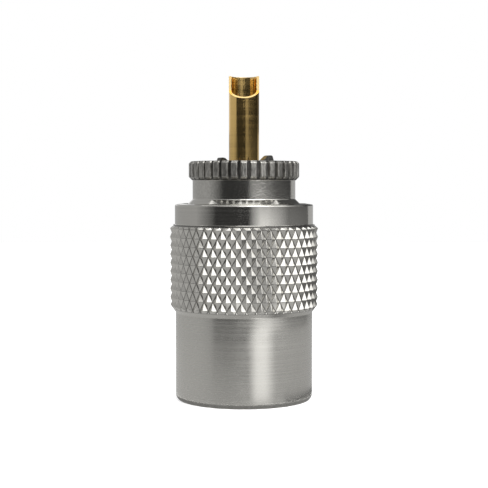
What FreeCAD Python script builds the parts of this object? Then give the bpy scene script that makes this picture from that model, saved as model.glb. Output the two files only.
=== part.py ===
import FreeCAD, Part
import math
import os
import Sketcher

# Solder type UHF coaxial plug, standing on its cable end with the mating side up.
# The Z axis is the axis of every turned piece, and the origin is the centre of the cable end.
# A one piece coupling nut slides and turns on the plug's barrel, behind the body's collar.
# Lengths are millimetres and angles are degrees.

SIZES = {
    # Coupling thread, 5/8 inch with 24 threads an inch, and what passes through it
    "thread_minor_radius": 7.48,
    "thread_depth": 0.46,
    "thread_length": 10.2,
    "collar_clearance": 0.1,
    "flange_clearance": 0.23,
    # Plug body, from the cable end up
    "stop_ledge": 0.48,
    "slide_clearance": 0.2,
    "barrel_wall": 1.15,
    "barrel_length": 19.3,
    "barrel_chamfer": 0.3,
    "collar_length": 6.4,
    "collar_foot_chamfer": 0.2,
    "flare_height": 0.6,
    "neck_depth": 0.63,
    "neck_length": 2.5,
    "flange_width": 2.45,
    "flange_rear_chamfer": 0.42,
    "flange_front_chamfer": 0.28,
    # Teeth round the flange
    "tooth_count": 36,
    "gap_depth": 0.3,
    "gap_width": 0.5,
    "gap_floor": 0.2,
    # Locating tabs on the flange's front face
    "tab_count": 2,
    "tab_bearing": -63,
    "tab_width": 1.5,
    "tab_height": 0.65,
    "tab_ramp_run": 0.7,
    "tab_steep_run": 0.2,
    "tab_depth": 1.1,
    "tab_setback": 0.12,
    "tab_root": 0.2,
    # Cable side of the body
    "cable_bore_length": 9.0,
    "cable_bore_chamfer": 0.4,
    "braid_bore_step": 1.25,
    "solder_hole_radius": 1.6,
    "solder_hole_height": 12.6,
    "solder_hole_count": 4,
    # Insulator, dropped in from the front
    "insulator_wall": 2.44,
    "insulator_fit": 0.05,
    "insulator_length": 10.4,
    "head_ledge": 0.6,
    "head_thickness": 0.9,
    "head_recess": 0.8,
    "head_chamfer": 0.15,
    # Centre pin, a thin tube with its tip scooped open
    "pin_radius": 1.98,
    "pin_wall": 0.33,
    "pin_reach": 11.15,
    "pin_fit": 0.03,
    "pin_tail": 1.6,
    "stem_rise": 0.17,
    "grip_rise": 0.45,
    "grip_cover": 0.35,
    "grip_seat": 0.9,
    "scoop_side": 1.85,
    "scoop_drop": 1.15,
    # Coupling nut, from its rear end up
    "shoulder_thickness": 2.5,
    "shoulder_chamfer": 0.3,
    "relief_taper": 0.3,
    "mouth_depth": 0.55,
    "mouth_flare": 0.62,
    "skirt_wall": 1.06,
    "skirt_length": 11.5,
    "foot_chamfer_width": 0.3,
    "foot_chamfer_height": 0.45,
    "band_wall": 1.14,
    "band_length": 2.75,
    "rim_drop": 0.15,
    "rim_chamfer": 0.12,
    # Diamond knurl round the nut
    "knurl_wall": 1.39,
    "knurl_depth": 0.42,
    "knurl_length": 11.5,
    "knurl_angle": 30,
    "knurl_count": 47,
    "knurl_foot_height": 1.05,
    "knurl_foot_step": 0.03,
    "knurl_top_width": 0.46,
    "knurl_top_height": 0.5,
    "knurl_top_step": 0.13,
}

# How far a cutting shape reaches past the metal that it removes
OVERCUT = 1.0

# Radii that several pieces share, as sums of driving sizes
THREAD_MAJOR = "sizes.thread_minor_radius + sizes.thread_depth"
COLLAR_RADIUS = "sizes.thread_minor_radius - sizes.collar_clearance"
FLANGE_RADIUS = "sizes.thread_minor_radius - sizes.flange_clearance"
SHOULDER_BORE = COLLAR_RADIUS + " - sizes.stop_ledge"
BARREL_RADIUS = SHOULDER_BORE + " - sizes.slide_clearance"
CABLE_BORE = BARREL_RADIUS + " - sizes.barrel_wall"
NECK_RADIUS = COLLAR_RADIUS + " - sizes.neck_depth"
BRAID_BORE = CABLE_BORE + " - sizes.braid_bore_step"
STEM_RADIUS = "sizes.pin_radius + sizes.stem_rise"
GRIP_RADIUS = "sizes.pin_radius + sizes.grip_rise"
INSULATOR_RADIUS = GRIP_RADIUS + " + sizes.pin_fit + sizes.insulator_wall"
SEAT_RADIUS = INSULATOR_RADIUS + " + sizes.insulator_fit"
HEAD_POCKET = SEAT_RADIUS + " + sizes.head_ledge"
PIN_BORE = "sizes.pin_radius - sizes.pin_wall"
MOUTH_RADIUS = "sizes.thread_minor_radius + sizes.mouth_flare"
SKIRT_RADIUS = THREAD_MAJOR + " + sizes.skirt_wall"
BAND_RADIUS = THREAD_MAJOR + " + sizes.band_wall"
KNURL_ROOT = THREAD_MAJOR + " + sizes.knurl_wall"
KNURL_TIP = KNURL_ROOT + " + sizes.knurl_depth"

# Heights that several pieces share, as sums of driving sizes
COLLAR_TOP = "sizes.barrel_length + sizes.collar_length"
NECK_FOOT = COLLAR_TOP + " + sizes.flare_height"
FLANGE_REAR = NECK_FOOT + " + sizes.neck_length"
FLANGE_FACE = FLANGE_REAR + " + sizes.flange_width"
PIN_TIP = FLANGE_FACE + " + sizes.pin_reach"
SCOOP_SIDE = PIN_TIP + " - sizes.scoop_side"
HEAD_FACE = FLANGE_FACE + " - sizes.head_recess"
HEAD_SEAT = HEAD_FACE + " - sizes.head_thickness"
INSULATOR_REAR = HEAD_FACE + " - sizes.insulator_length"
GRIP_TOP = HEAD_FACE + " - sizes.grip_cover"
GRIP_FOOT = INSULATOR_REAR + " + sizes.grip_seat"
KNURL_FULL_TOP = "sizes.skirt_length + sizes.knurl_length - sizes.knurl_top_height"
KNURL_TOP = "sizes.skirt_length + sizes.knurl_length"
NUT_TOP = KNURL_TOP + " + sizes.band_length"
MOUTH_FOOT = NUT_TOP + " - sizes.mouth_depth"
THREAD_FOOT = MOUTH_FOOT + " - sizes.thread_length"

doc = FreeCAD.newDocument("uhf_connector")


def make_sheet():
    """Write every driving size into a spreadsheet cell with its own alias."""
    cells = doc.addObject("Spreadsheet::Sheet", "sizes")
    for row, (alias, number) in enumerate(SIZES.items(), start=1):
        cells.set("A%d" % row, alias.replace("_", " "))
        cells.set("B%d" % row, str(number))
        cells.setAlias("B%d" % row, alias)
    doc.recompute()
    return cells


sizes = make_sheet()


def value(text):
    """The present value of an expression over the sheet."""
    return float(sizes.evalExpression(text.replace("sizes.", "")))


def origin_item(body, role):
    """One of the planes and axes of the body's own origin."""
    return next(item for item in body.Origin.OriginFeatures if item.Role == role)


def new_sketch(body, name, role):
    """A sketch lying on one of the body's origin planes."""
    sketch = body.newObject("Sketcher::SketchObject", name)
    sketch.AttachmentSupport = [(origin_item(body, role), "")]
    sketch.MapMode = "FlatFace"
    return sketch


def hold(sketch, kind, index, point, text):
    """Bind one coordinate of a point in the sketch to an expression."""
    if text == "0":
        axis = -2 if kind == "DistanceX" else -1
        sketch.addConstraint(Sketcher.Constraint("PointOnObject", index, point, axis))
        return
    rule = sketch.addConstraint(Sketcher.Constraint(kind, index, point, value(text)))
    sketch.setExpression("Constraints[%d]" % rule, text)


def outline(sketch, corners):
    """A closed outline of straight lines, with (across, up) expressions for its corners."""
    points = [FreeCAD.Vector(value(across), value(up), 0) for across, up in corners]
    count = len(points)
    for index, start in enumerate(points):
        sketch.addGeometry(Part.LineSegment(start, points[(index + 1) % count]), False)
    for index in range(count):
        sketch.addConstraint(Sketcher.Constraint("Coincident", index, 2, (index + 1) % count, 1))
    for index, (across, up) in enumerate(corners):
        hold(sketch, "DistanceX", index, 1, across)
        hold(sketch, "DistanceY", index, 1, up)


def turn(name, corners):
    """A turned piece: its half section, as (radius, height) corners, turned about the Z axis."""
    body = doc.addObject("PartDesign::Body", name)
    section = new_sketch(body, name + "_section", "XZ_Plane")
    outline(section, corners)
    turned = body.newObject("PartDesign::Revolution", name + "_turned")
    turned.Profile = section
    turned.ReferenceAxis = (section, ["V_Axis"])
    turned.Angle = 360
    doc.recompute()
    return body


def repeat_round(body, name, original, count):
    """Copies of a feature spread evenly round the Z axis."""
    pattern = body.newObject("PartDesign::PolarPattern", name)
    pattern.Originals = [original]
    pattern.Axis = (origin_item(body, "Z_Axis"), [""])
    pattern.Angle = 360
    pattern.setExpression("Occurrences", count)
    body.Tip = pattern
    doc.recompute()


def cut_teeth(body):
    """Narrow gaps down the flange's edge, which leave flat topped teeth."""
    sketch = new_sketch(body, "tooth_gap_outline", "XY_Plane")
    # A tooth faces along X, so the first gap is half a tooth round from it
    sketch.AttachmentOffset = FreeCAD.Placement(
        FreeCAD.Vector(0, 0, value(FLANGE_FACE)), FreeCAD.Rotation(FreeCAD.Vector(0, 0, 1), 1))
    sketch.setExpression("AttachmentOffset.Base.z", FLANGE_FACE)
    sketch.setExpression("AttachmentOffset.Rotation.Angle", "180 / sizes.tooth_count")
    floor = FLANGE_RADIUS + " - sizes.gap_depth"
    # The gap's walls run on at one slope to the same distance past the flange's edge
    reach = FLANGE_RADIUS + " + sizes.gap_depth"
    outline(sketch, [
        (floor, "-sizes.gap_floor / 2"),
        (reach, "sizes.gap_floor / 2 - sizes.gap_width"),
        (reach, "sizes.gap_width - sizes.gap_floor / 2"),
        (floor, "sizes.gap_floor / 2"),
    ])
    gap = body.newObject("PartDesign::Pocket", "tooth_gap")
    gap.Profile = sketch
    gap.Type = 0
    gap.setExpression("Length", "sizes.flange_width + sizes.neck_length / 2")
    doc.recompute()
    repeat_round(body, "tooth_gaps", gap, "sizes.tooth_count")


def add_tabs(body):
    """Locating tabs that ramp up one way round and drop steeply at their other end."""
    sketch = new_sketch(body, "tab_outline", "XZ_Plane")
    # The outline is turned to the tab's bearing and moved out to the tab's outer end
    sketch.AttachmentOffset = FreeCAD.Placement(
        FreeCAD.Vector(0, 0, 0), FreeCAD.Rotation(FreeCAD.Vector(0, 1, 0), 1))
    out = "(" + FLANGE_RADIUS + " - sizes.flange_front_chamfer - sizes.tab_setback)"
    sketch.setExpression("AttachmentOffset.Rotation.Angle", "sizes.tab_bearing + 90")
    sketch.setExpression("AttachmentOffset.Base.x", out + " * cos(sizes.tab_bearing)")
    sketch.setExpression("AttachmentOffset.Base.z", "-" + out + " * sin(sizes.tab_bearing)")
    root = FLANGE_FACE + " - sizes.tab_root"
    top = FLANGE_FACE + " + sizes.tab_height"
    outline(sketch, [
        ("-sizes.tab_width / 2", root),
        ("sizes.tab_width / 2", root),
        ("sizes.tab_width / 2", FLANGE_FACE),
        ("sizes.tab_width / 2 - sizes.tab_steep_run", top),
        ("sizes.tab_ramp_run - sizes.tab_width / 2", top),
        ("-sizes.tab_width / 2", FLANGE_FACE),
    ])
    tab = body.newObject("PartDesign::Pad", "tab")
    tab.Profile = sketch
    tab.Type = 0
    tab.Reversed = True
    tab.setExpression("Length", "sizes.tab_depth")
    doc.recompute()
    repeat_round(body, "tabs", tab, "sizes.tab_count")


def drill_solder_holes(body):
    """Round holes through the barrel's wall, where the cable's braid is soldered."""
    sketch = new_sketch(body, "solder_hole_outline", "XZ_Plane")
    centre = FreeCAD.Vector(0, value("sizes.solder_hole_height"), 0)
    up = FreeCAD.Vector(0, 0, 1)
    sketch.addGeometry(Part.Circle(centre, up, value("sizes.solder_hole_radius")), False)
    hold(sketch, "DistanceX", 0, 3, "0")
    hold(sketch, "DistanceY", 0, 3, "sizes.solder_hole_height")
    rule = sketch.addConstraint(
        Sketcher.Constraint("Radius", 0, value("sizes.solder_hole_radius")))
    sketch.setExpression("Constraints[%d]" % rule, "sizes.solder_hole_radius")
    hole = body.newObject("PartDesign::Pocket", "solder_hole")
    hole.Profile = sketch
    hole.Type = 0
    hole.setExpression("Length", COLLAR_RADIUS)
    doc.recompute()
    repeat_round(body, "solder_holes", hole, "sizes.solder_hole_count")


def make_plug_body():
    """Barrel, collar, neck and toothed flange, turned from one bar and bored for the cable."""
    body = turn("plug_body", [
        (CABLE_BORE + " + sizes.cable_bore_chamfer", "0"),
        (BARREL_RADIUS + " - sizes.barrel_chamfer", "0"),
        (BARREL_RADIUS, "sizes.barrel_chamfer"),
        (BARREL_RADIUS, "sizes.barrel_length"),
        (COLLAR_RADIUS + " - sizes.collar_foot_chamfer", "sizes.barrel_length"),
        (COLLAR_RADIUS, "sizes.barrel_length + sizes.collar_foot_chamfer"),
        (COLLAR_RADIUS, COLLAR_TOP),
        (NECK_RADIUS, NECK_FOOT),
        (NECK_RADIUS, FLANGE_REAR),
        (FLANGE_RADIUS + " - sizes.flange_rear_chamfer", FLANGE_REAR),
        (FLANGE_RADIUS, FLANGE_REAR + " + sizes.flange_rear_chamfer"),
        (FLANGE_RADIUS, FLANGE_FACE + " - sizes.flange_front_chamfer"),
        (FLANGE_RADIUS + " - sizes.flange_front_chamfer", FLANGE_FACE),
        (HEAD_POCKET, FLANGE_FACE),
        (HEAD_POCKET, HEAD_SEAT),
        (SEAT_RADIUS, HEAD_SEAT),
        (SEAT_RADIUS, INSULATOR_REAR),
        (BRAID_BORE, INSULATOR_REAR),
        (BRAID_BORE, "sizes.cable_bore_length"),
        (CABLE_BORE, "sizes.cable_bore_length"),
        (CABLE_BORE, "sizes.cable_bore_chamfer"),
    ])
    cut_teeth(body)
    add_tabs(body)
    drill_solder_holes(body)
    return body


def make_insulator():
    """Headed bush that carries the pin, with a wider chamber round the pin's grip."""
    head = HEAD_POCKET + " - sizes.insulator_fit"
    stem_hole = STEM_RADIUS + " + sizes.pin_fit"
    chamber = GRIP_RADIUS + " + sizes.pin_fit"
    return turn("insulator", [
        (stem_hole, INSULATOR_REAR),
        (INSULATOR_RADIUS, INSULATOR_REAR),
        (INSULATOR_RADIUS, HEAD_SEAT),
        (head, HEAD_SEAT),
        (head, HEAD_FACE + " - sizes.head_chamfer"),
        (head + " - sizes.head_chamfer", HEAD_FACE),
        (stem_hole, HEAD_FACE),
        (stem_hole, GRIP_TOP),
        (chamber, GRIP_TOP),
        (chamber, GRIP_FOOT),
        (stem_hole, GRIP_FOOT),
    ])


def make_centre_pin():
    """Thin tube with a thick stem and grip in the insulator, its tip cut open in front."""
    body = turn("centre_pin", [
        (PIN_BORE, INSULATOR_REAR + " - sizes.pin_tail"),
        (STEM_RADIUS, INSULATOR_REAR + " - sizes.pin_tail"),
        (STEM_RADIUS, GRIP_FOOT),
        (GRIP_RADIUS, GRIP_FOOT),
        (GRIP_RADIUS, GRIP_TOP),
        (STEM_RADIUS, GRIP_TOP),
        (STEM_RADIUS, HEAD_FACE),
        ("sizes.pin_radius", HEAD_FACE),
        ("sizes.pin_radius", PIN_TIP),
        (PIN_BORE, PIN_TIP),
    ])
    sketch = new_sketch(body, "scoop_outline", "YZ_Plane")
    # The front half goes down to the scoop's sides, and from there the cut slopes forward
    front = "-(sizes.pin_radius + %s)" % OVERCUT
    slope = "sizes.scoop_drop * (sizes.pin_radius + %s) / sizes.pin_radius" % OVERCUT
    above = PIN_TIP + " + %s" % OVERCUT
    outline(sketch, [
        ("0", SCOOP_SIDE),
        ("0", above),
        (front, above),
        (front, SCOOP_SIDE + " - " + slope),
    ])
    scoop = body.newObject("PartDesign::Pocket", "scoop")
    scoop.Profile = sketch
    scoop.Type = 0
    scoop.Midplane = True
    scoop.setExpression("Length", "2 * sizes.pin_radius + %s" % OVERCUT)
    doc.recompute()
    return body


def faceted_ring(name, sides, rings):
    """A ring bounded by flat facets, as a tool that cuts the same facets into the nut.

    Each ring of points is a pair of radii that alternate round it, and a height. The rings
    close on each other in their order, and each cell is folded between its two larger radii.
    """
    points = []
    for even_radius, odd_radius, height in rings:
        for side in range(sides):
            turned = 2 * math.pi * side / sides
            radius = odd_radius if side % 2 else even_radius
            points.append(FreeCAD.Vector(
                radius * math.cos(turned), radius * math.sin(turned), height))
    facets = []
    for index, (even_radius, odd_radius, _) in enumerate(rings):
        low = index * sides
        high = (index + 1) % len(rings) * sides
        for side in range(sides):
            after = (side + 1) % sides
            corners = [low + side, low + after, high + after, high + side]
            first, second = (odd_radius, even_radius) if side % 2 else (even_radius, odd_radius)
            if first > second:
                corners = corners[1:] + corners[:1]
            facets.append((corners[0], corners[2], corners[1]))
            facets.append((corners[0], corners[3], corners[2]))
    skin = Part.Shape()
    skin.makeShapeFromMesh((points, facets), 0.0001)
    solid = Part.Solid(Part.Shell(skin.Faces))
    if solid.Volume < 0:
        solid.reverse()
    ring = doc.addObject("Part::Feature", name)
    ring.Shape = solid
    return ring


def knurl_cutters(sides):
    """Tools for the knurl's two chamfered ends and for its crossed grooves."""
    tip = value(KNURL_TIP)
    root = value(KNURL_ROOT)
    clear = tip + OVERCUT
    foot = value("sizes.skirt_length")
    foot_full = value("sizes.skirt_length + sizes.knurl_foot_height")
    foot_radius = value(SKIRT_RADIUS + " + sizes.knurl_foot_step")
    full_top = value(KNURL_FULL_TOP)
    top = value(KNURL_TOP)
    top_radius = value(KNURL_TIP + " - sizes.knurl_top_width")
    top_step = top - value("sizes.knurl_top_step")

    # The first row of tips is where the top chamfer starts
    slope = math.tan(math.radians(value("sizes.knurl_angle")))
    row_step = 2 * math.pi * tip / sides / slope
    rows_above = math.ceil((top - full_top) / row_step)
    rows_below = math.ceil((full_top - foot) / row_step)
    grooves = []
    for row in range(-rows_below, rows_above + 1):
        radii = (root, tip) if row % 2 else (tip, root)
        grooves.append((*radii, full_top + row * row_step))
    low = grooves[0][2]
    high = grooves[-1][2]
    grooves += [(clear, clear, high), (clear, clear, low)]
    foot_end = [(foot_radius, foot_radius, foot), (tip, tip, foot_full),
                (clear, clear, foot_full), (clear, clear, foot)]
    top_end = [(tip, tip, full_top), (top_radius, top_radius, top_step),
               (top_radius, top_radius, top), (clear, clear, top), (clear, clear, full_top)]
    return [
        faceted_ring("knurl_foot_end", sides, foot_end),
        faceted_ring("knurl_top_end", sides, top_end),
        faceted_ring("knurl_grooves", sides, grooves),
    ]


def make_coupling_nut():
    """Rear shoulder, relief and thread bore inside; skirt, knurl and band outside."""
    nut = turn("nut_blank", [
        (SHOULDER_BORE + " + sizes.shoulder_chamfer", "0"),
        (SKIRT_RADIUS + " - sizes.foot_chamfer_width", "0"),
        (SKIRT_RADIUS, "sizes.foot_chamfer_height"),
        (SKIRT_RADIUS, "sizes.skirt_length"),
        (KNURL_TIP, "sizes.skirt_length"),
        (KNURL_TIP, KNURL_TOP),
        (BAND_RADIUS, KNURL_TOP),
        (BAND_RADIUS, NUT_TOP + " - sizes.rim_drop - sizes.rim_chamfer"),
        (BAND_RADIUS + " - sizes.rim_chamfer", NUT_TOP + " - sizes.rim_drop"),
        (MOUTH_RADIUS, NUT_TOP),
        ("sizes.thread_minor_radius", MOUTH_FOOT),
        ("sizes.thread_minor_radius", THREAD_FOOT),
        (THREAD_MAJOR, THREAD_FOOT + " - sizes.relief_taper"),
        (THREAD_MAJOR, "sizes.shoulder_thickness"),
        (SHOULDER_BORE, "sizes.shoulder_thickness"),
        (SHOULDER_BORE, "sizes.shoulder_chamfer"),
    ])
    for cutter in knurl_cutters(2 * int(value("sizes.knurl_count"))):
        cut = doc.addObject("Part::Cut", cutter.Name + "_cut")
        cut.Base = nut
        cut.Tool = cutter
        nut = cut
        doc.recompute()
    return nut


def check_document():
    """Stop if any object failed, or any feature lost its solid."""
    for item in doc.Objects:
        failed = {"Invalid", "Error"} & set(item.State)
        if failed:
            raise RuntimeError("%s is %s" % (item.Name, sorted(failed)))


def check_cuts(body):
    """Stop if a pocket in the body removes nothing, or a pad adds nothing."""
    for item in body.Group:
        if item.TypeId not in ("PartDesign::Pocket", "PartDesign::Pad"):
            continue
        change = item.Shape.Volume - item.BaseFeature.Shape.Volume
        if (change > 0) != (item.TypeId == "PartDesign::Pad"):
            raise RuntimeError("%s changes the volume by %.3f" % (item.Name, change))


PIECES = {
    "plug_body": make_plug_body(),
    "insulator": make_insulator(),
    "centre_pin": make_centre_pin(),
    "coupling_nut": make_coupling_nut(),
}

doc.recompute()
check_document()
os.makedirs("parts", exist_ok=True)
for node, piece in PIECES.items():
    piece.Label = node
    if piece.TypeId == "PartDesign::Body":
        check_cuts(piece)
    if piece.Shape.isNull() or not piece.Shape.isValid() or len(piece.Shape.Solids) != 1:
        raise RuntimeError("%s is not one valid solid" % node)
    piece.Shape.exportStep("parts/%s.step" % node)
    box = piece.Shape.BoundBox
    print("%s: %.1f cubic mm, z %.2f to %.2f, radius %.3f"
          % (node, piece.Shape.Volume, box.ZMin, box.ZMax, box.XMax))
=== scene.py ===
import math

import bmesh
import bpy
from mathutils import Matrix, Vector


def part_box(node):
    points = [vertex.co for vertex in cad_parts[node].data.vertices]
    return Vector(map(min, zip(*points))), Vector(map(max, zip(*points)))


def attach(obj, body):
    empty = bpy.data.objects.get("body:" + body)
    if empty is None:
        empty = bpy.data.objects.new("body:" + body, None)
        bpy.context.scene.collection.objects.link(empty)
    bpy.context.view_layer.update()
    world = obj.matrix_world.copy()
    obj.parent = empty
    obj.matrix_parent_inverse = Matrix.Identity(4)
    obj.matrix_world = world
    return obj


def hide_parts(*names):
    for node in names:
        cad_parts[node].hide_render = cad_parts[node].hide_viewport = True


# The dressed UHF plug: nickel plated body and coupling nut, white insulator, gold plated pin.
# Sizes below are millimetres and degrees. Blender's own lengths are metres.

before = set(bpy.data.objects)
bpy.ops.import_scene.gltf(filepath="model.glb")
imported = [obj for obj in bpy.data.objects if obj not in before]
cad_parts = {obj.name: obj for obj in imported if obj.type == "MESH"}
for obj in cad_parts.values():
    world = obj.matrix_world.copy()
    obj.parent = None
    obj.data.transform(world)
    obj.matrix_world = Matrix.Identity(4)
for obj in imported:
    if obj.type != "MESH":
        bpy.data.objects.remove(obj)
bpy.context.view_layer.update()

MM = 0.001
FULL_TURN = 2 * math.pi


def mm_box(node):
    """A node's lowest and highest corners, in millimetres."""
    low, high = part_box(node)
    return [part / MM for part in low], [part / MM for part in high]


_, body_high = mm_box("plug_body")
bush_low, bush_high = mm_box("insulator")
pin_low, pin_high = mm_box("centre_pin")
_, nut_high = mm_box("coupling_nut")

# Closer than this is the same place, for merging vertices and for picking them
MERGE = 0.001
NEAR = 0.01
# Edges that turn more than this stay sharp
SHARP_ANGLE = 30

# Plug body, upwards from the cable end
COLLAR_RADIUS = body_high[0]
BARREL_RADIUS = COLLAR_RADIUS - 0.68
CABLE_BORE = BARREL_RADIUS - 1.15
BRAID_BORE = CABLE_BORE - 1.25
NECK_RADIUS = COLLAR_RADIUS - 0.63
SEAT_RADIUS = NECK_RADIUS - 1.8
FLANGE_RADIUS = COLLAR_RADIUS - 0.13
HEAD_POCKET = SEAT_RADIUS + 0.6
TAB_HEIGHT = 0.65
FLANGE_FACE = body_high[2] - TAB_HEIGHT
FLANGE_REAR = FLANGE_FACE - 2.45
FLARE_TOP = FLANGE_REAR - 2.5
COLLAR_TOP = FLARE_TOP - 0.6
COLLAR_FOOT = COLLAR_TOP - 6.4
CABLE_BORE_END = 9.0
HEAD_SEAT = bush_high[2] - 0.9
CABLE_MOUTH = 0.4
BARREL_CHAMFER = 0.3
COLLAR_CHAMFER = 0.2
FLANGE_REAR_CHAMFER = 0.42
FLANGE_FACE_CHAMFER = 0.28
BUSH_GAP = 0.05
PIN_GAP = 0.03

# Teeth and tabs of the flange
TOOTH_COUNT = 36
GAP_FLOOR_RADIUS = FLANGE_RADIUS - 0.3
TAB_BEARING = -63
TAB_WIDTH = 1.5
TAB_DEPTH = 1.1
TAB_OUT = FLANGE_RADIUS - 0.4
TAB_ROOT = 0.25
TAB_RAMP = 0.7
TAB_LEAN = 0.2
TAB_CORNER = 60
TOOTH_EDGE = 0.09
TAB_EDGE = 0.07

# Solder holes and the reducer's thread in the cable bore
HOLE_RADIUS = 1.6
HOLE_HEIGHT = 12.6
HOLE_COUNT = 4
DRILL_LENGTH = 5
REDUCER_PITCH = 0.907
REDUCER_DEPTH = 0.32
REDUCER_RUN_IN = 0.6
REDUCER_RUN_OUT = 1.2

# Centre pin
PIN_RADIUS = 1.98
PIN_BORE = PIN_RADIUS - 0.33
STEM_RADIUS = PIN_RADIUS + 0.17
GRIP_RADIUS = pin_high[0]
GRIP_FOOT = bush_low[2] + 0.9
GRIP_TOP = bush_high[2] - 0.35
SCOOP_SIDE = pin_high[2] - 1.85
SCOOP_DROP = 1.15
SCOOP_EDGE = 0.05

# Coupling nut, upwards from its rear end
NUT_TOP = nut_high[2]
SHOULDER_BORE = COLLAR_RADIUS - 0.48
SHOULDER_TOP = 2.5
SHOULDER_CHAMFER = 0.3
FOOT_CHAMFER_IN = 0.3
FOOT_CHAMFER_UP = 0.45
THREAD_MINOR = COLLAR_RADIUS + 0.1
THREAD_MAJOR = THREAD_MINOR + 0.46
THREAD_PITCH = 25.4 / 24
THREAD_FOOT = NUT_TOP - 10.75
THREAD_RUN_IN = 0.3
THREAD_RUN_OUT = 0.7
RELIEF_SLOPE = 0.3
THREAD_FLANK = 30
FACE_DROP = 0.15
FACE_WIDTH = 0.62
MOUTH_DEPTH = 0.55
SKIRT_RADIUS = THREAD_MAJOR + 1.06
BAND_RADIUS = THREAD_MAJOR + 1.14
SKIRT_TOP = 11.5
KNURL_TOP = NUT_TOP - 2.75

# Diamond knurl
KNURL_COUNT = 47
KNURL_ANGLE = 30
KNURL_TIP = nut_high[0]
KNURL_ROOT = KNURL_TIP - 0.42
KNURL_CLEAR = KNURL_TIP + 0.8
KNURL_ROW = math.pi * KNURL_TIP / KNURL_COUNT / math.tan(math.radians(KNURL_ANGLE))
KNURL_FULL_TOP = KNURL_TOP - 0.5
KNURL_LAND = KNURL_TOP - 0.13
KNURL_LAND_RADIUS = KNURL_TIP - 0.46
KNURL_EDGE = 0.05
KNURL_FULL_FOOT = SKIRT_TOP + 1.05
# Where the knurl's foot, which is a cone, reaches the grooves' floor
KNURL_FOOT_SHARE = (KNURL_ROOT - SKIRT_RADIUS) / (KNURL_TIP - SKIRT_RADIUS)
KNURL_FOOT = SKIRT_TOP + (KNURL_FULL_FOOT - SKIRT_TOP) * KNURL_FOOT_SHARE

# Steps in one turn. A tooth and a diamond each take a whole number of them.
BODY_STEPS = 10 * TOOTH_COUNT
NUT_STEPS = 4 * KNURL_COUNT
BUSH_STEPS = 128
PIN_STEPS = 96
THREAD_STEPS = 96
HOLE_STEPS = 48

# Camera of the photograph, which is 488 pixels wide and high
EYE_DISTANCE = 158.0
EYE_HEIGHT = 27.9
EYE_TILT = 2.72
LENS = 88.5
SENSOR = 36

# The room round the plug: distances of the upright cards, and their lower and upper edges
WALL = 300
LOW = (-20, 48)
MIDDLE = (48, 85)
LOW_AND_MIDDLE = (-20, 85)
HIGH = (85, 400)
BRIGHT = (85, 330)
FRONT = 90
FRONT_EDGES = (0, 25.2)
BESIDE = 14
BESIDE_EDGES = (0.1, 9.5)
# Heights of the level cards, and the inner and outer edges of the mats
ROOF = 420
ROOF_FLAG = 410
TABLE = 0.1
FOOT = 0.02
INNER_MAT = (10.5, 60)
OUTER_MAT = (60, WALL)
CARD_STEPS = 24
FLOOR_RADIUS = 450
AIM_HEIGHT = 20


# Modelling by hand


def deselect_all():
    """Leave edit mode and deselect every object."""
    if bpy.context.object and bpy.context.object.mode != "OBJECT":
        bpy.ops.object.mode_set(mode="OBJECT")
    bpy.ops.object.select_all(action="DESELECT")


def edit(piece):
    """Open one piece in edit mode with nothing in it selected."""
    deselect_all()
    piece.select_set(True)
    bpy.context.view_layer.objects.active = piece
    bpy.ops.object.mode_set(mode="EDIT")
    bpy.ops.mesh.select_all(action="DESELECT")


def pick(kind, wanted):
    """Select the open mesh's vertices, edges or faces that the test wants, in millimetres."""
    bpy.ops.mesh.select_mode(type={"verts": "VERT", "edges": "EDGE", "faces": "FACE"}[kind])
    bpy.ops.mesh.select_all(action="DESELECT")
    mesh = bmesh.from_edit_mesh(bpy.context.object.data)
    for part in getattr(mesh, kind):
        part.select_set(bool(wanted(part)))
    mesh.select_flush(True)
    bmesh.update_edit_mesh(bpy.context.object.data)


def radius_of(vert):
    """A vertex's distance from the Z axis, in millimetres."""
    return math.hypot(vert.co.x, vert.co.y) / MM


def height_of(vert):
    """A vertex's height, in millimetres."""
    return vert.co.z / MM


def angle_of(vert):
    """A vertex's bearing round the Z axis from +X, in degrees."""
    return math.degrees(math.atan2(vert.co.y, vert.co.x))


def tidy_shell():
    """Merge the open mesh's doubles and turn its faces outwards."""
    bpy.ops.mesh.select_all(action="SELECT")
    bpy.ops.mesh.remove_doubles(threshold=MERGE * MM)
    bpy.ops.mesh.normals_make_consistent(inside=False)


def new_point(name):
    """A new piece, open in edit mode, with one selected vertex at the origin."""
    deselect_all()
    bpy.ops.mesh.primitive_plane_add(size=MM)
    piece = bpy.context.object
    piece.name = name
    piece.data.name = name
    bpy.ops.object.mode_set(mode="EDIT")
    bpy.ops.mesh.select_mode(type="VERT")
    bpy.ops.mesh.select_all(action="SELECT")
    bpy.ops.mesh.merge(type="CENTER")
    return piece


def new_outline(name, corners):
    """A closed wire in the XZ plane.

    Corners are (radius, height), and a third value is the size that rounds the corner.
    """
    piece = new_point(name)
    across, up = corners[0][:2]
    bpy.ops.transform.translate(value=(across * MM, 0, up * MM))
    for corner in corners[1:] + corners[:1]:
        step = ((corner[0] - across) * MM, 0, (corner[1] - up) * MM)
        bpy.ops.mesh.extrude_vertices_move(TRANSFORM_OT_translate={"value": step})
        across, up = corner[:2]
    bpy.ops.mesh.select_all(action="SELECT")
    bpy.ops.mesh.remove_doubles(threshold=MERGE * MM)
    for across, up, size in (corner for corner in corners if len(corner) == 3):
        pick("verts", lambda vert: math.hypot(
            vert.co.x / MM - across, vert.co.z / MM - up) < 2 * MERGE)
        bpy.ops.mesh.bevel(offset=size * MM, segments=3, affect="VERTICES", clamp_overlap=True)
    return piece


def turned(name, corners, steps):
    """A turned piece: its half section, spun once round the Z axis."""
    piece = new_outline(name, corners)
    bpy.ops.mesh.select_all(action="SELECT")
    bpy.ops.mesh.spin(steps=steps, angle=FULL_TURN, center=(0, 0, 0), axis=(0, 0, 1))
    tidy_shell()
    bpy.ops.object.mode_set(mode="OBJECT")
    return piece


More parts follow.
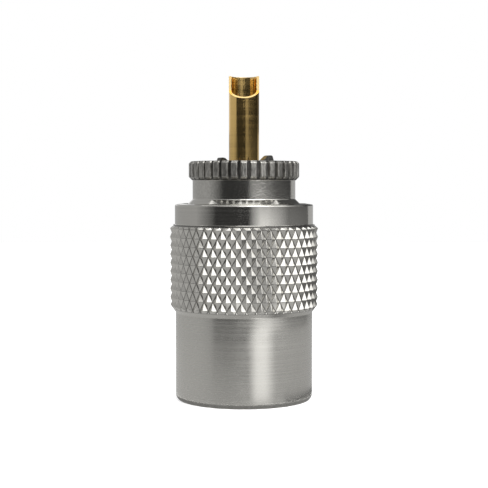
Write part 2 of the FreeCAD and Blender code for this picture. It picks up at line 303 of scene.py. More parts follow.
def helix(name, section, pitch, turns):
    """A thread's form: a closed section carried up and round the Z axis, with its ends closed."""
    piece = new_outline(name, section)
    bpy.ops.object.mode_set(mode="OBJECT")
    bpy.ops.object.modifier_add(type="SCREW")
    screw = piece.modifiers[-1]
    screw.axis = "Z"
    screw.angle = FULL_TURN
    screw.screw_offset = pitch * MM
    screw.iterations = turns
    screw.steps = THREAD_STEPS
    screw.render_steps = THREAD_STEPS
    bpy.ops.object.modifier_apply(modifier=screw.name)
    edit(piece)
    bpy.ops.mesh.select_mode(type="EDGE")
    bpy.ops.mesh.select_non_manifold()
    bpy.ops.mesh.fill_holes(sides=0)
    tidy_shell()
    bpy.ops.object.mode_set(mode="OBJECT")
    return piece


def combine(piece, tool, operation):
    """Cut the tool out of the piece, or weld it on, and take the tool away."""
    deselect_all()
    piece.select_set(True)
    bpy.context.view_layer.objects.active = piece
    bpy.ops.object.modifier_add(type="BOOLEAN")
    boolean = piece.modifiers[-1]
    boolean.operation = operation
    boolean.solver = "EXACT"
    boolean.object = tool
    bpy.ops.object.modifier_apply(modifier=boolean.name)
    bpy.data.objects.remove(tool, do_unlink=True)


def resize_all(piece, factor):
    """Resize the whole mesh about the origin."""
    edit(piece)
    bpy.ops.mesh.select_all(action="SELECT")
    bpy.ops.transform.resize(value=(factor, factor, factor), center_override=(0, 0, 0))
    bpy.ops.object.mode_set(mode="OBJECT")


def finish_piece(piece, body, node):
    """Shade the piece, let it ride, and let it stand for its node."""
    deselect_all()
    piece.select_set(True)
    bpy.context.view_layer.objects.active = piece
    bpy.ops.object.shade_smooth_by_angle(angle=math.radians(SHARP_ANGLE))
    # Large faces keep their own normals, so a small rounding doesn't tilt the light on them.
    # The modifier weighs faces by area, and it takes areas as small as these for none at all.
    resize_all(piece, 1 / MM)
    bpy.ops.object.modifier_add(type="WEIGHTED_NORMAL")
    weighted = piece.modifiers[-1]
    weighted.keep_sharp = True
    bpy.ops.object.modifier_apply(modifier=weighted.name)
    resize_all(piece, MM)
    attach(piece, body)
    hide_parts(node)


# Finishes


def linear(code):
    """An sRGB hex colour as linear red, green, blue and alpha."""
    parts = [int(code[place:place + 2], 16) / 255 for place in (1, 3, 5)]
    return [part / 12.92 if part <= 0.04045 else ((part + 0.055) / 1.055) ** 2.4
            for part in parts] + [1.0]


def add(tree, kind, links=None, **settings):
    """Add a node. Settings are its properties or sockets, and links are {socket: output}."""
    node = tree.nodes.new(kind)
    for name, setting in settings.items():
        if hasattr(node, name):
            setattr(node, name, setting)
        else:
            node.inputs[name.replace("_", " ")].default_value = setting
    for socket, output in (links or {}).items():
        tree.links.new(output, node.inputs[socket])
    return node


def new_material(name, colour, metallic, roughness):
    """A material with one Principled shader, whose even values sit on the shader's sockets."""
    material = bpy.data.materials.new(name)
    material.use_nodes = True
    shader = material.node_tree.nodes["Principled BSDF"]
    shader.inputs["Base Color"].default_value = linear(colour)
    shader.inputs["Metallic"].default_value = metallic
    shader.inputs["Roughness"].default_value = roughness
    return material, material.node_tree, shader


def ring_coordinates(tree, spacing):
    """Coordinates that change along the axis and across it, but not round it.

    One unit is one turning mark's spacing, in millimetres.
    """
    place = add(tree, "ShaderNodeTexCoord").outputs["Object"]
    parts = add(tree, "ShaderNodeSeparateXYZ", {"Vector": place})
    flat = add(tree, "ShaderNodeCombineXYZ", {"X": parts.outputs["X"], "Y": parts.outputs["Y"]})
    across = add(tree, "ShaderNodeVectorMath", {0: flat.outputs[0]}, operation="LENGTH")
    rings = add(tree, "ShaderNodeCombineXYZ",
                {"X": across.outputs["Value"], "Y": parts.outputs["Z"]})
    scaled = add(tree, "ShaderNodeVectorMath", {0: rings.outputs[0]}, operation="SCALE",
                 Scale=1 / (spacing * MM))
    return place, scaled.outputs[0]


def turned_metal(name, colour, roughness, spread, anisotropy, mark_spacing, mark_height, tone):
    """Plated metal with the fine rings that a lathe tool leaves.

    The rings blur what is reflected along the axis more than round it. Their roughness varies
    by the spread, and the plate's tone by the last value, both from ring to ring.
    """
    material, tree, shader = new_material(name, colour, 1.0, roughness)
    place, rings = ring_coordinates(tree, mark_spacing)
    marks = add(tree, "ShaderNodeTexNoise", {"Vector": rings}, Scale=1.0, Detail=3.0,
                Roughness=0.6)
    cloud = add(tree, "ShaderNodeTexNoise", {"Vector": place}, Scale=1 / (CLOUD * MM), Detail=3.0)
    blend = add(tree, "ShaderNodeMix", {"A": marks.outputs["Fac"], "B": cloud.outputs["Fac"]},
                data_type="FLOAT", Factor=0.25)
    level = add(tree, "ShaderNodeMapRange", {"Value": blend.outputs[0]}, From_Min=0.35,
                From_Max=0.65, To_Min=roughness - spread, To_Max=roughness + spread)
    tree.links.new(level.outputs[0], shader.inputs["Roughness"])
    shade = add(tree, "ShaderNodeMapRange", {"Value": blend.outputs[0]}, From_Min=0.35,
                From_Max=0.65, To_Min=1.0 - tone, To_Max=1.0)
    tint = add(tree, "ShaderNodeVectorMath", {"Scale": shade.outputs[0]}, operation="SCALE")
    tint.inputs[0].default_value = linear(colour)[:3]
    tree.links.new(tint.outputs[0], shader.inputs["Base Color"])
    bump = add(tree, "ShaderNodeBump", {"Height": marks.outputs["Fac"]}, Strength=1.0,
               Distance=mark_height * MM)
    tree.links.new(bump.outputs[0], shader.inputs["Normal"])
    tangent = add(tree, "ShaderNodeTangent", direction_type="RADIAL", axis="Z")
    tree.links.new(tangent.outputs[0], shader.inputs["Tangent"])
    shader.inputs["Anisotropic"].default_value = anisotropy
    shader.inputs["Anisotropic Rotation"].default_value = 0.25
    return material


def pebbled_metal(name, colour, roughness, grain, stretch, height, tone, groove_shade):
    """Plated metal over a rolled or milled surface, with a pebble of one grain size.

    The grain is stretched along the axis. The last value paints shade into the grooves: the
    radius where the plate is painted darkest, the one where its full tone is reached, and the
    share of the tone that is left where it is darkest.
    """
    material, tree, shader = new_material(name, colour, 1.0, roughness)
    place = add(tree, "ShaderNodeTexCoord").outputs["Object"]
    drawn = add(tree, "ShaderNodeVectorMath", {0: place}, operation="MULTIPLY")
    drawn.inputs[1].default_value = (1, 1, 1 / stretch)
    pebble = add(tree, "ShaderNodeTexNoise", {"Vector": drawn.outputs[0]},
                 Scale=1 / (grain * MM), Detail=2.0, Roughness=0.6)
    bump = add(tree, "ShaderNodeBump", {"Height": pebble.outputs["Fac"]}, Strength=1.0,
               Distance=height * MM)
    tree.links.new(bump.outputs[0], shader.inputs["Normal"])
    parts = add(tree, "ShaderNodeSeparateXYZ", {"Vector": place})
    flat = add(tree, "ShaderNodeCombineXYZ", {"X": parts.outputs["X"], "Y": parts.outputs["Y"]})
    across = add(tree, "ShaderNodeVectorMath", {0: flat.outputs[0]}, operation="LENGTH")
    # Painted shade: the plate's tone falls towards the axis, darkest on the groove floors and on
    # faces nearer the axis
    darkest, full, left = groove_shade
    groove = add(tree, "ShaderNodeMapRange", {"Value": across.outputs["Value"]},
                 From_Min=darkest * MM, From_Max=full * MM, To_Min=left, To_Max=1.0)
    shade = add(tree, "ShaderNodeMapRange", {"Value": pebble.outputs["Fac"]}, From_Min=0.3,
                From_Max=0.7, To_Min=1.0 - tone, To_Max=1.0)
    both = add(tree, "ShaderNodeMath", {0: groove.outputs[0], 1: shade.outputs[0]},
               operation="MULTIPLY")
    tint = add(tree, "ShaderNodeVectorMath", {"Scale": both.outputs[0]}, operation="SCALE")
    tint.inputs[0].default_value = linear(colour)[:3]
    tree.links.new(tint.outputs[0], shader.inputs["Base Color"])
    return material


NICKEL = "#D3D1CB"
FLUOROPOLYMER = "#E9E8E2"
# Size of the uneven patches in the plate
CLOUD = 1.4

# Bright nickel over a fine turned cut: a near mirror with vertical streaks
bright_nickel = turned_metal(
    "bright_turned_nickel", NICKEL, roughness=0.13, spread=0.03, anisotropy=0.6,
    mark_spacing=0.22, mark_height=0.0004, tone=0.06)
# Satin nickel over a coarser cut: broad soft bands of light, and rings that just show
satin_nickel = turned_metal(
    "satin_turned_nickel", NICKEL, roughness=0.27, spread=0.05, anisotropy=0.45,
    mark_spacing=0.26, mark_height=0.0008, tone=0.05)
# Nickel a little frosted, on the neck: a soft mirror with a fine grain that has no direction
neck_nickel = pebbled_metal(
    "frosted_nickel", NICKEL, roughness=0.15, grain=0.24, stretch=1.0, height=0.009,
    tone=0.2, groove_shade=(0, 1, 1.0))
# Nickel over rolled diamonds: each facet is even, with a slight pebble, and painted shade that
# darkens the groove floors, a thin line at the knurl's foot and the step under the band
knurled_nickel = pebbled_metal(
    "knurled_nickel", "#DAD8D2", roughness=0.2, grain=0.3, stretch=1.0, height=0.002,
    tone=0.08, groove_shade=(KNURL_ROOT + 0.01, KNURL_ROOT + 0.06, 0.35))
# Nickel over milled teeth: dull, with a pebble drawn out along each tooth, and painted shade that
# darkens the gap floors and the flange's faces nearer the axis than them
toothed_nickel = pebbled_metal(
    "toothed_nickel", "#C0BEB8", roughness=0.34, grain=0.2, stretch=4.0, height=0.03,
    tone=0.6, groove_shade=(GAP_FLOOR_RADIUS, GAP_FLOOR_RADIUS + 0.06, 0.25))
# Gold over a polished tube: a near mirror, a little streaked along its rings
gold = turned_metal(
    "gold_plate", "#F6D086", roughness=0.12, spread=0.04, anisotropy=0.2,
    mark_spacing=0.3, mark_height=0.0003, tone=0.1)
# Gold on the milled scoop: the cutter's marks scatter the light
milled_gold = turned_metal(
    "milled_gold", "#FBDC9B", roughness=0.55, spread=0.05, anisotropy=0.0,
    mark_spacing=0.2, mark_height=0.001, tone=0.05)


def make_fluoropolymer():
    """White fluoropolymer, turned: waxy, dull and slightly see-through."""
    material, tree, shader = new_material("turned_fluoropolymer", FLUOROPOLYMER, 0.0, 0.42)
    shader.inputs["IOR"].default_value = 1.38
    shader.inputs["Subsurface Weight"].default_value = 0.15
    shader.inputs["Subsurface Radius"].default_value = (0.6 * MM, 0.6 * MM, 0.5 * MM)
    shader.inputs["Subsurface Scale"].default_value = 1.0
    _, rings = ring_coordinates(tree, 0.22)
    marks = add(tree, "ShaderNodeTexNoise", {"Vector": rings}, Scale=1.0, Detail=2.0)
    bump = add(tree, "ShaderNodeBump", {"Height": marks.outputs["Fac"]}, Strength=1.0,
               Distance=0.004 * MM)
    tree.links.new(bump.outputs[0], shader.inputs["Normal"])
    shade = add(tree, "ShaderNodeMapRange", {"Value": marks.outputs["Fac"]}, From_Min=0.3,
                From_Max=0.7, To_Min=0.94, To_Max=1.0)
    tint = add(tree, "ShaderNodeVectorMath", {"Scale": shade.outputs[0]}, operation="SCALE")
    tint.inputs[0].default_value = linear(FLUOROPOLYMER)[:3]
    tree.links.new(tint.outputs[0], shader.inputs["Base Color"])
    return material


fluoropolymer = make_fluoropolymer()


def paint(piece, materials, choose):
    """Give each face one of the materials, chosen by its centre's radius and height."""
    piece.data.materials.clear()
    for material in materials:
        piece.data.materials.append(material)
    for face in piece.data.polygons:
        centre = face.center
        face.material_index = choose(math.hypot(centre.x, centre.y) / MM, centre.z / MM)


# Coupling nut


def knurl_cutter():
    """A ring whose inner wall is the knurl: pyramids in rows, each row half a pyramid round."""
    half_turn = math.pi / KNURL_COUNT
    depth = KNURL_TIP - KNURL_ROOT
    rows_up = math.ceil((KNURL_TOP - KNURL_FULL_TOP) / KNURL_ROW) + 1
    rows_down = math.ceil((KNURL_FULL_TOP - SKIRT_TOP) / KNURL_ROW) + 1
    # A row whose number is even has a tip at the bearing of +X
    low_row = -2 * math.ceil(rows_down / 2)
    pairs = math.ceil((rows_up - low_row) / 2)
    deselect_all()
    bpy.ops.mesh.primitive_cone_add(
        vertices=4, radius1=MM, radius2=0, depth=depth * MM, end_fill_type="NOTHING",
        rotation=(math.pi / 2, 0, 0), location=(0, 0, 0))
    piece = bpy.context.object
    piece.name = "knurl_cutter"
    bpy.ops.object.transform_apply(location=True, rotation=True, scale=True)
    bpy.ops.object.mode_set(mode="EDIT")
    bpy.ops.mesh.select_all(action="SELECT")
    bpy.ops.transform.resize(
        value=(KNURL_ROOT * math.sin(half_turn), 1, KNURL_ROW), center_override=(0, 0, 0))
    bpy.ops.transform.translate(value=(
        0, -(KNURL_ROOT + depth / 2) * MM, (KNURL_FULL_TOP + low_row * KNURL_ROW) * MM))
    pick("verts", lambda vert: abs(vert.co.x) > 0.1 * MM)
    sag = KNURL_ROOT * (1 - math.cos(half_turn))
    bpy.ops.transform.translate(value=(0, sag * MM, 0))
    bpy.ops.mesh.select_all(action="SELECT")
    # The odd rows are half a pyramid round
    bpy.ops.mesh.duplicate_move(TRANSFORM_OT_translate={"value": (0, 0, KNURL_ROW * MM)})
    bpy.ops.transform.rotate(value=half_turn, orient_axis="Z", center_override=(0, 0, 0))
    bpy.ops.mesh.select_all(action="SELECT")
    for _ in range(pairs - 1):
        bpy.ops.mesh.duplicate_move(TRANSFORM_OT_translate={"value": (0, 0, 2 * KNURL_ROW * MM)})
    bpy.ops.mesh.select_all(action="SELECT")
    bpy.ops.transform.rotate(value=math.pi / 2, orient_axis="Z", center_override=(0, 0, 0))
    bpy.ops.mesh.spin(
        steps=KNURL_COUNT - 1, angle=FULL_TURN - 2 * half_turn, dupli=True,
        center=(0, 0, 0), axis=(0, 0, 1))
    bpy.ops.mesh.select_all(action="SELECT")
    bpy.ops.mesh.remove_doubles(threshold=MERGE * MM)
    # Rolled ridges are never quite sharp
    crest = KNURL_TIP - 0.05
    pick("edges", lambda edge: any(radius_of(vert) > crest for vert in edge.verts)
         and not edge.is_boundary)
    bpy.ops.mesh.bevel(
        offset=KNURL_EDGE * MM, segments=2, affect="EDGES", clamp_overlap=True)
    # The knurled skin becomes a closed ring outside the nut
    pick("edges", lambda edge: edge.is_boundary)
    bpy.ops.mesh.extrude_region_move()
    spread = KNURL_CLEAR / KNURL_ROOT
    bpy.ops.transform.resize(value=(spread, spread, 1), center_override=(0, 0, 0))
    pick("edges", lambda edge: edge.is_boundary)
    bpy.ops.mesh.bridge_edge_loops()
    tidy_shell()
    bpy.ops.object.mode_set(mode="OBJECT")
    return piece


def thread_cutter(name, minor, depth, pitch, low, high):
    """A helical V tool that cuts a thread outwards from a bore."""
    root_flat = pitch / 8
    inside = 0.25
    flare = (depth + inside) * math.tan(math.radians(THREAD_FLANK))
    turns = math.ceil((high - low) / pitch)
    section = [
        (minor - inside, low - root_flat / 2 - flare),
        (minor + depth, low - root_flat / 2),
        (minor + depth, low + root_flat / 2),
        (minor - inside, low + root_flat / 2 + flare),
    ]
    return helix(name, section, pitch, turns)


def make_nut():
    """Skirt, diamond knurl and bright band outside; shoulder, relief and thread inside."""
    nut = turned("finished_coupling_nut", [
        (SHOULDER_BORE + SHOULDER_CHAMFER, 0),
        (SKIRT_RADIUS - FOOT_CHAMFER_IN, 0, 0.12),
        (SKIRT_RADIUS, FOOT_CHAMFER_UP, 0.2),
        (SKIRT_RADIUS, SKIRT_TOP, 0.08),
        (KNURL_ROOT, KNURL_FOOT),
        (KNURL_TIP, KNURL_FULL_FOOT),
        (KNURL_TIP, KNURL_FULL_TOP),
        (KNURL_LAND_RADIUS, KNURL_LAND),
        (KNURL_LAND_RADIUS, KNURL_TOP),
        (BAND_RADIUS, KNURL_TOP, 0.1),
        (BAND_RADIUS, NUT_TOP - FACE_DROP, 0.16),
        (THREAD_MINOR + FACE_WIDTH, NUT_TOP, 0.06),
        (THREAD_MINOR, NUT_TOP - MOUTH_DEPTH),
        (THREAD_MINOR, THREAD_FOOT),
        (THREAD_MAJOR, THREAD_FOOT - RELIEF_SLOPE),
        (THREAD_MAJOR, SHOULDER_TOP),
        (SHOULDER_BORE, SHOULDER_TOP, 0.1),
        (SHOULDER_BORE, SHOULDER_CHAMFER),
    ], NUT_STEPS)
    combine(nut, knurl_cutter(), "DIFFERENCE")
    tap = thread_cutter("tap", THREAD_MINOR, THREAD_MAJOR - THREAD_MINOR, THREAD_PITCH,
                        THREAD_FOOT - THREAD_RUN_OUT, NUT_TOP + THREAD_RUN_IN)
    combine(nut, tap, "DIFFERENCE")

    def finish(radius, height):
        if height > KNURL_TOP - MERGE:
            return 2
        # Faces above the knurl's foot take the knurled finish, and so does the wall of the step
        # under the band; its painted shade darkens that wall and a thin line at the foot
        rolled = height > KNURL_FOOT and radius > BAND_RADIUS + 0.1
        return 1 if rolled else 0

    paint(nut, [satin_nickel, knurled_nickel, bright_nickel], finish)
    finish_piece(nut, "nut", "coupling_nut")


# Plug body


def cut_teeth(body):
    """Draw the rim's vertices in at each gap, which leaves flat topped teeth between them."""
    edit(body)
    spacing = 360 / TOOTH_COUNT
    step = 360 / BODY_STEPS
    # A gap's floor reaches one step to each side of its middle, and its walls one step more
    floor_reach = 1.2 * step
    wall_top = 2 * step

    def off_gap(vert):
        return abs(angle_of(vert) % spacing - spacing / 2)

    mesh = bmesh.from_edit_mesh(body.data)
    rim = sorted({round(radius_of(vert), 4) for vert in mesh.verts
                  if height_of(vert) > FLANGE_REAR - NEAR and radius_of(vert) > GAP_FLOOR_RADIUS})
    for radius in rim:
        pick("verts", lambda vert: height_of(vert) > FLANGE_REAR - NEAR
             and abs(radius_of(vert) - radius) < MERGE and off_gap(vert) < floor_reach)
        shrink = GAP_FLOOR_RADIUS / radius
        bpy.ops.transform.resize(value=(shrink, shrink, 1), center_override=(0, 0, 0))
    # The teeth's edges are slightly broken
    pick("edges", lambda edge: all(
        height_of(vert) > FLANGE_REAR - NEAR and radius_of(vert) > FLANGE_RADIUS - NEAR
        and abs(off_gap(vert) - wall_top) < 0.1 * step for vert in edge.verts))
    bpy.ops.mesh.bevel(
        offset=TOOTH_EDGE * MM, segments=3, affect="EDGES", clamp_overlap=True)
    tidy_shell()
    bpy.ops.object.mode_set(mode="OBJECT")


def add_tabs(body):
    """Two locating tabs on the flange's face, ramped one way round and steep the other."""
    for bearing in (TAB_BEARING, TAB_BEARING + 180):
        half = TAB_WIDTH / 2
        root = FLANGE_FACE - TAB_ROOT
        top = FLANGE_FACE + TAB_HEIGHT
        tab = new_outline("tab", [
            (-half, root),
            (half, root),
            (half, FLANGE_FACE),
            (half - TAB_LEAN, top, 0.16),
            (TAB_RAMP - half, top, 0.22),
            (-half, FLANGE_FACE, 0.1),
        ])
        bpy.ops.mesh.select_all(action="SELECT")
        bpy.ops.mesh.edge_face_add()
        bpy.ops.mesh.extrude_region_move(
            TRANSFORM_OT_translate={"value": (0, TAB_DEPTH * MM, 0)})
        tidy_shell()
        pick("edges", lambda edge: edge.calc_face_angle(0) > math.radians(TAB_CORNER)
             and all(height_of(vert) > FLANGE_FACE - NEAR for vert in edge.verts))
        bpy.ops.mesh.bevel(
            offset=TAB_EDGE * MM, segments=2, affect="EDGES", clamp_overlap=True)
        bpy.ops.mesh.select_all(action="SELECT")
        # The tab is made facing -Y, and transform.rotate turns the other way
        bpy.ops.transform.translate(value=(0, -TAB_OUT * MM, 0))
        bpy.ops.transform.rotate(
            value=-math.radians(bearing + 90), orient_axis="Z", center_override=(0, 0, 0))
        tidy_shell()
        combine(body, tab, "UNION")


def drill_holes(body):
    """Solder holes through the barrel's wall."""
    for number in range(HOLE_COUNT):
        bearing = FULL_TURN * number / HOLE_COUNT + math.pi / 2
        middle = (BARREL_RADIUS + BRAID_BORE) / 2
        deselect_all()
        bpy.ops.mesh.primitive_cylinder_add(
            vertices=HOLE_STEPS, radius=HOLE_RADIUS * MM, depth=DRILL_LENGTH * MM,
            rotation=(math.pi / 2, 0, bearing + math.pi / 2),
            location=(middle * math.cos(bearing) * MM, middle * math.sin(bearing) * MM,
                      HOLE_HEIGHT * MM))
        drill = bpy.context.object
        bpy.ops.object.transform_apply(location=True, rotation=True, scale=True)
        combine(body, drill, "DIFFERENCE")


def make_body():
    """Barrel, collar, neck and toothed flange, turned from one bar."""
    body = turned("finished_plug_body", [
        (CABLE_BORE + CABLE_MOUTH, 0),
        (BARREL_RADIUS - BARREL_CHAMFER, 0),
        (BARREL_RADIUS, BARREL_CHAMFER),
        (BARREL_RADIUS, COLLAR_FOOT),
        (COLLAR_RADIUS - COLLAR_CHAMFER, COLLAR_FOOT),
        (COLLAR_RADIUS, COLLAR_FOOT + COLLAR_CHAMFER),
        (COLLAR_RADIUS, COLLAR_TOP, 0.04),
        (NECK_RADIUS, FLARE_TOP, 0.08),
        (NECK_RADIUS, FLANGE_REAR, 0.08),
        (FLANGE_RADIUS - FLANGE_REAR_CHAMFER, FLANGE_REAR, 0.08),
        (FLANGE_RADIUS, FLANGE_REAR + FLANGE_REAR_CHAMFER, 0.1),
        (FLANGE_RADIUS, FLANGE_FACE - FLANGE_FACE_CHAMFER, 0.07),
        (FLANGE_RADIUS - FLANGE_FACE_CHAMFER, FLANGE_FACE, 0.07),
        (HEAD_POCKET, FLANGE_FACE, 0.05),
        (HEAD_POCKET, HEAD_SEAT),
        (SEAT_RADIUS, HEAD_SEAT),
        (SEAT_RADIUS, bush_low[2]),
        (BRAID_BORE, bush_low[2]),
        (BRAID_BORE, CABLE_BORE_END),
        (CABLE_BORE, CABLE_BORE_END),
        (CABLE_BORE, CABLE_MOUTH),
    ], BODY_STEPS)
    cut_teeth(body)
    add_tabs(body)
    drill_holes(body)
    tap = thread_cutter("reducer_tap", CABLE_BORE, REDUCER_DEPTH, REDUCER_PITCH,
                        -REDUCER_RUN_IN, CABLE_BORE_END - REDUCER_RUN_OUT)
    combine(body, tap, "DIFFERENCE")

    def finish(radius, height):
        outside = radius > HEAD_POCKET + 0.1
        if outside and height > FLANGE_REAR - NEAR:
            return 2
        if outside and height > FLARE_TOP + 0.1:
            return 3
        return 1 if height > COLLAR_TOP - NEAR else 0

    paint(body, [satin_nickel, bright_nickel, toothed_nickel, neck_nickel], finish)
    finish_piece(body, "plug", "plug_body")


# Insulator and centre pin


def make_insulator():
    """Headed bush of white fluoropolymer."""
    outside = SEAT_RADIUS - BUSH_GAP
    head = HEAD_POCKET - BUSH_GAP
    hole = STEM_RADIUS + PIN_GAP
    chamber = GRIP_RADIUS + PIN_GAP
    bush = turned("finished_insulator", [
        (hole, bush_low[2]),
        (outside, bush_low[2], 0.2),
        (outside, HEAD_SEAT),
        (head, HEAD_SEAT),
        (head, bush_high[2], 0.15),
        (hole, bush_high[2], 0.06),
        (hole, GRIP_TOP),
        (chamber, GRIP_TOP),
        (chamber, GRIP_FOOT),
        (hole, GRIP_FOOT),
    ], BUSH_STEPS)
    paint(bush, [fluoropolymer], lambda radius, height: 0)
    finish_piece(bush, "plug", "insulator")


def make_pin():
    """Gold plated tube, its tip cut open towards the front."""
    pin = turned("finished_centre_pin", [
        (PIN_BORE, pin_low[2]),
        (STEM_RADIUS, pin_low[2], 0.1),
        (STEM_RADIUS, GRIP_FOOT),
        (GRIP_RADIUS, GRIP_FOOT),
        (GRIP_RADIUS, GRIP_TOP),
        (STEM_RADIUS, GRIP_TOP),
        (STEM_RADIUS, bush_high[2]),
        (PIN_RADIUS, bush_high[2]),
        (PIN_RADIUS, pin_high[2], 0.05),
        (PIN_BORE, pin_high[2], 0.05),
    ], PIN_STEPS)
    # The cutter's section is carried across the whole tube, and then turned to the front
    reach = PIN_RADIUS + 1
    above = pin_high[2] + 1
    cutter = new_outline("scoop_cutter", [
        (0, SCOOP_SIDE),
        (0, above),
        (reach, above),
        (reach, SCOOP_SIDE - SCOOP_DROP * reach / PIN_RADIUS),
    ])
    bpy.ops.mesh.select_all(action="SELECT")
    bpy.ops.mesh.edge_face_add()
    bpy.ops.transform.translate(value=(0, -reach * MM, 0))
    bpy.ops.mesh.extrude_region_move(TRANSFORM_OT_translate={"value": (0, 2 * reach * MM, 0)})
    bpy.ops.mesh.select_all(action="SELECT")
    bpy.ops.transform.rotate(value=math.pi / 2, orient_axis="Z", center_override=(0, 0, 0))
    tidy_shell()
    combine(pin, cutter, "DIFFERENCE")

    def on_cut(vert):
        """True where a vertex lies on either plane of the cut."""
        forward = -vert.co.y / MM
        slope = SCOOP_SIDE - SCOOP_DROP * forward / PIN_RADIUS
        upright = abs(forward) < NEAR and height_of(vert) > SCOOP_SIDE - NEAR
        return upright or (forward > -NEAR and abs(height_of(vert) - slope) < NEAR)

    edit(pin)
    pick("edges", lambda edge: all(on_cut(vert) for vert in edge.verts)
         and edge.calc_face_angle(0) > math.radians(SHARP_ANGLE)
         and any(not all(on_cut(vert) for vert in face.verts) for face in edge.link_faces))
    bpy.ops.mesh.bevel(
        offset=SCOOP_EDGE * MM, segments=2, affect="EDGES", clamp_overlap=True)
    tidy_shell()
    bpy.ops.object.mode_set(mode="OBJECT")

    def finish(radius, height):
        in_wall = PIN_BORE < radius < PIN_RADIUS - NEAR
        return 1 if in_wall and height > SCOOP_SIDE - SCOOP_DROP - 0.1 else 0

    paint(pin, [gold, milled_gold], finish)
    finish_piece(pin, "plug", "centre_pin")


make_nut()
make_body()
make_insulator()
make_pin()


# Floor, cards, lamp and camera


def emission(name, bearings, levels):
    """A glow whose grey level goes evenly from one bearing's to the other's."""
    material = bpy.data.materials.new(name)
    material.use_nodes = True
    tree = material.node_tree
    tree.nodes.clear()
    place = add(tree, "ShaderNodeTexCoord").outputs["Object"]
    parts = add(tree, "ShaderNodeSeparateXYZ", {"Vector": place})
    toward = add(tree, "ShaderNodeMath", {0: parts.outputs["Y"]}, operation="MULTIPLY")
    toward.inputs[1].default_value = -1
    bearing = add(tree, "ShaderNodeMath", {0: parts.outputs["X"], 1: toward.outputs[0]},
                  operation="ARCTAN2")
    grey = add(tree, "ShaderNodeMapRange", {"Value": bearing.outputs[0]},
               From_Min=math.radians(bearings[0]), From_Max=math.radians(bearings[1]),
               To_Min=levels[0], To_Max=levels[1])
    glow = add(tree, "ShaderNodeEmission", {"Strength": grey.outputs[0]}, Color=(1, 1, 1, 1))
    add(tree, "ShaderNodeOutputMaterial", {"Surface": glow.outputs[0]})
    return material


def card(name, bearings, near, far, levels):
    """A card bent round the plug, between two (distance, height) edges. Only reflections see it.

    Bearings are degrees from the camera's side, with the camera's right positive, and each
    has its own grey level.
    """
    piece = new_point(name)
    start, end = (math.radians(bearing - 90) for bearing in bearings)
    out = (math.cos(start), math.sin(start))
    bpy.ops.transform.translate(
        value=(near[0] * out[0] * MM, near[0] * out[1] * MM, near[1] * MM))
    run = far[0] - near[0]
    bpy.ops.mesh.extrude_vertices_move(TRANSFORM_OT_translate={
        "value": (run * out[0] * MM, run * out[1] * MM, (far[1] - near[1]) * MM)})
    bpy.ops.mesh.select_all(action="SELECT")
    # A spin with a positive angle goes round clockwise
    bpy.ops.mesh.spin(steps=CARD_STEPS, angle=start - end, center=(0, 0, 0), axis=(0, 0, 1))
    bpy.ops.object.mode_set(mode="OBJECT")
    piece.data.materials.append(emission(name, bearings, levels))
    piece.visible_camera = False
    piece.visible_diffuse = False
    piece.visible_shadow = False


def upright(name, distance, edges, bearings, levels):
    """A card that stands at one distance, with a lower and an upper edge."""
    card(name, bearings, (distance, edges[0]), (distance, edges[1]), levels)


def level(name, height, edges, bearings, levels):
    """A card that lies at one height, with an inner and an outer edge."""
    card(name, bearings, (edges[0], height), (edges[1], height), levels)


def make_floor():
    """Plain white floor that keeps a faint shadow."""
    deselect_all()
    bpy.ops.mesh.primitive_circle_add(
        vertices=96, radius=FLOOR_RADIUS * MM, fill_type="NGON")
    floor = bpy.context.object
    floor.name = "floor"
    material, _, shader = new_material("matt_white_card", "#F2F2F2", 0.0, 0.9)
    shader.inputs["Emission Color"].default_value = (1, 1, 1, 1)
    shader.inputs["Emission Strength"].default_value = 0.45
    floor.data.materials.append(material)


def make_world():
    """Even white surroundings."""
    world = bpy.data.worlds.new("white_room")
    bpy.context.scene.world = world
    world.use_nodes = True
    world.cycles.sampling_method = "NONE"
    background = world.node_tree.nodes["Background"]
    background.inputs["Color"].default_value = (1, 1, 1, 1)
    background.inputs["Strength"].default_value = 1.0


def make_lamp(name, bearing, elevation, distance, size, power):
    """A square soft box that faces the plug."""
    turn = math.radians(bearing - 90)
    rise = math.radians(elevation)
    reach = distance * math.cos(rise) * MM
    deselect_all()
    bpy.ops.object.light_add(
        type="AREA",
        location=(reach * math.cos(turn), reach * math.sin(turn),
                  (AIM_HEIGHT + distance * math.sin(rise)) * MM),
        rotation=(math.pi / 2 - rise, 0, turn + math.pi / 2))
    lamp = bpy.context.object
    lamp.name = name
    lamp.data.shape = "SQUARE"
    lamp.data.size = size * MM
    lamp.data.energy = power


def make_camera():
    """The photograph's camera: level with the neck, close by, tilted slightly down."""
    deselect_all()
    bpy.ops.object.camera_add(
        location=(0, -EYE_DISTANCE * MM, EYE_HEIGHT * MM),
        rotation=(math.radians(90 - EYE_TILT), 0, 0))
    camera = bpy.context.object
    camera.data.sensor_width = SENSOR
    camera.data.lens = LENS
    camera.data.clip_start = 0.005
    bpy.context.scene.camera = camera


make_floor()
make_world()
# Low on the walls, where the nut and the neck look
upright("left_wall", WALL, LOW, (-175, -84), (0.42, 0.42))
upright("left_wall_fade", WALL, LOW, (-84, -46), (0.42, 0.035))
upright("black_flag", WALL, LOW_AND_MIDDLE, (-46, 12), (0.035, 0.035))
upright("grey_strip", WALL, LOW_AND_MIDDLE, (12, 34), (0.25, 0.22))
upright("grey_strip_fall", WALL, LOW, (34, 60), (0.22, 0.1))
upright("dark_right_wall", WALL, LOW, (60, 128), (0.1, 0.05))
upright("light_right_wall", WALL, LOW, (128, 185), (0.5, 0.5))
# Above them, where the pin looks
upright("pin_left_wall_back", WALL, MIDDLE, (-175, -124), (0.9, 0.6))
upright("pin_left_wall", WALL, MIDDLE, (-124, -60), (0.52, 0.5))
upright("pin_flag", WALL, MIDDLE, (-60, -46), (0.035, 0.035))
upright("pin_dark_wall", WALL, MIDDLE, (34, 128), (0.04, 0.025))
upright("pin_right_wall", WALL, MIDDLE, (128, 185), (0.14, 0.14))
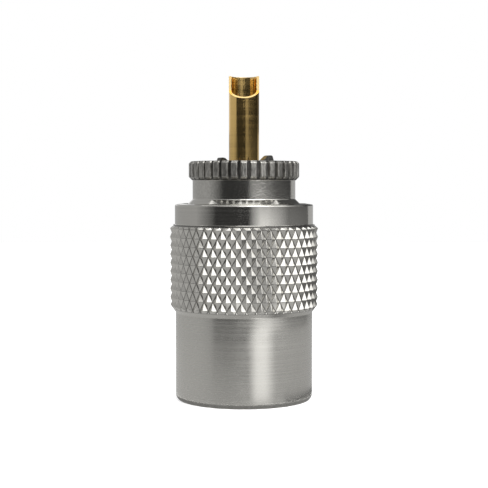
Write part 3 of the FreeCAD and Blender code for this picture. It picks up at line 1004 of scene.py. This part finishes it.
# In front on the right, for the nut, and low enough for the neck to look over
upright("low_card_rise", FRONT, FRONT_EDGES, (7, 26), (0.05, 1.1))
upright("low_card", FRONT, FRONT_EDGES, (26, 40), (1.1, 1.1))
upright("low_card_fall", FRONT, FRONT_EDGES, (40, 76), (1.0, 0.22))
upright("low_card_end", FRONT, FRONT_EDGES, (76, 128), (0.26, 0.16))
# High on the walls: grey on the left and behind, and a bright one in front for the knurl
upright("high_left_wall", WALL, HIGH, (-175, -9), (0.42, 0.42))
upright("high_bright_wall", WALL, BRIGHT, (-9, 70), (1.8, 1.8))
upright("high_bright_fall", WALL, BRIGHT, (70, 96), (1.8, 0.4))
upright("high_right_wall", WALL, HIGH, (96, 122), (0.5, 0.4))
upright("high_dark_wall", WALL, HIGH, (122, 185), (0.08, 0.08))
# A white roof for the broken edges, with a dark flag under each side for the flare
level("roof", ROOF, (1, 450), (-180, 180), (1.5, 1.5))
level("roof_flag", ROOF_FLAG, (50, 330), (-122, -55), (0.12, 0.12))
level("roof_right_flag", ROOF_FLAG, (120, 330), (55, 122), (0.12, 0.12))
# Grey mats on the table, and a dark ring at the nut's foot
level("foot_shadow", FOOT, (8.72, 10.5), (-180, 180), (0.2, 0.3))
level("near_left_mat", TABLE, INNER_MAT, (-180, -30), (0.56, 0.5))
level("near_mat", TABLE, INNER_MAT, (-30, 46), (0.48, 0.48))
level("near_right_mat", TABLE, INNER_MAT, (46, 180), (0.14, 0.14))
level("left_mat", TABLE, OUTER_MAT, (-180, -50), (0.5, 0.48))
level("front_mat", TABLE, OUTER_MAT, (-50, 7), (0.12, 0.12))
level("right_mat", TABLE, OUTER_MAT, (7, 180), (0.4, 0.4))
# Close to the skirt, and low enough for the knurl to look over
upright("skirt_card_rise", BESIDE, BESIDE_EDGES, (4, 14), (0.3, 1.05))
upright("skirt_card", BESIDE, BESIDE_EDGES, (14, 24), (1.05, 1.05))
upright("skirt_card_fall", BESIDE, BESIDE_EDGES, (24, 37), (1.05, 0.42))
upright("skirt_card_end", BESIDE, BESIDE_EDGES, (37, 150), (0.46, 0.46))
make_lamp("key_soft_box", bearing=35, elevation=42, distance=420, size=260, power=1.2)
make_camera()
bpy.context.scene.view_settings.view_transform = "Standard"
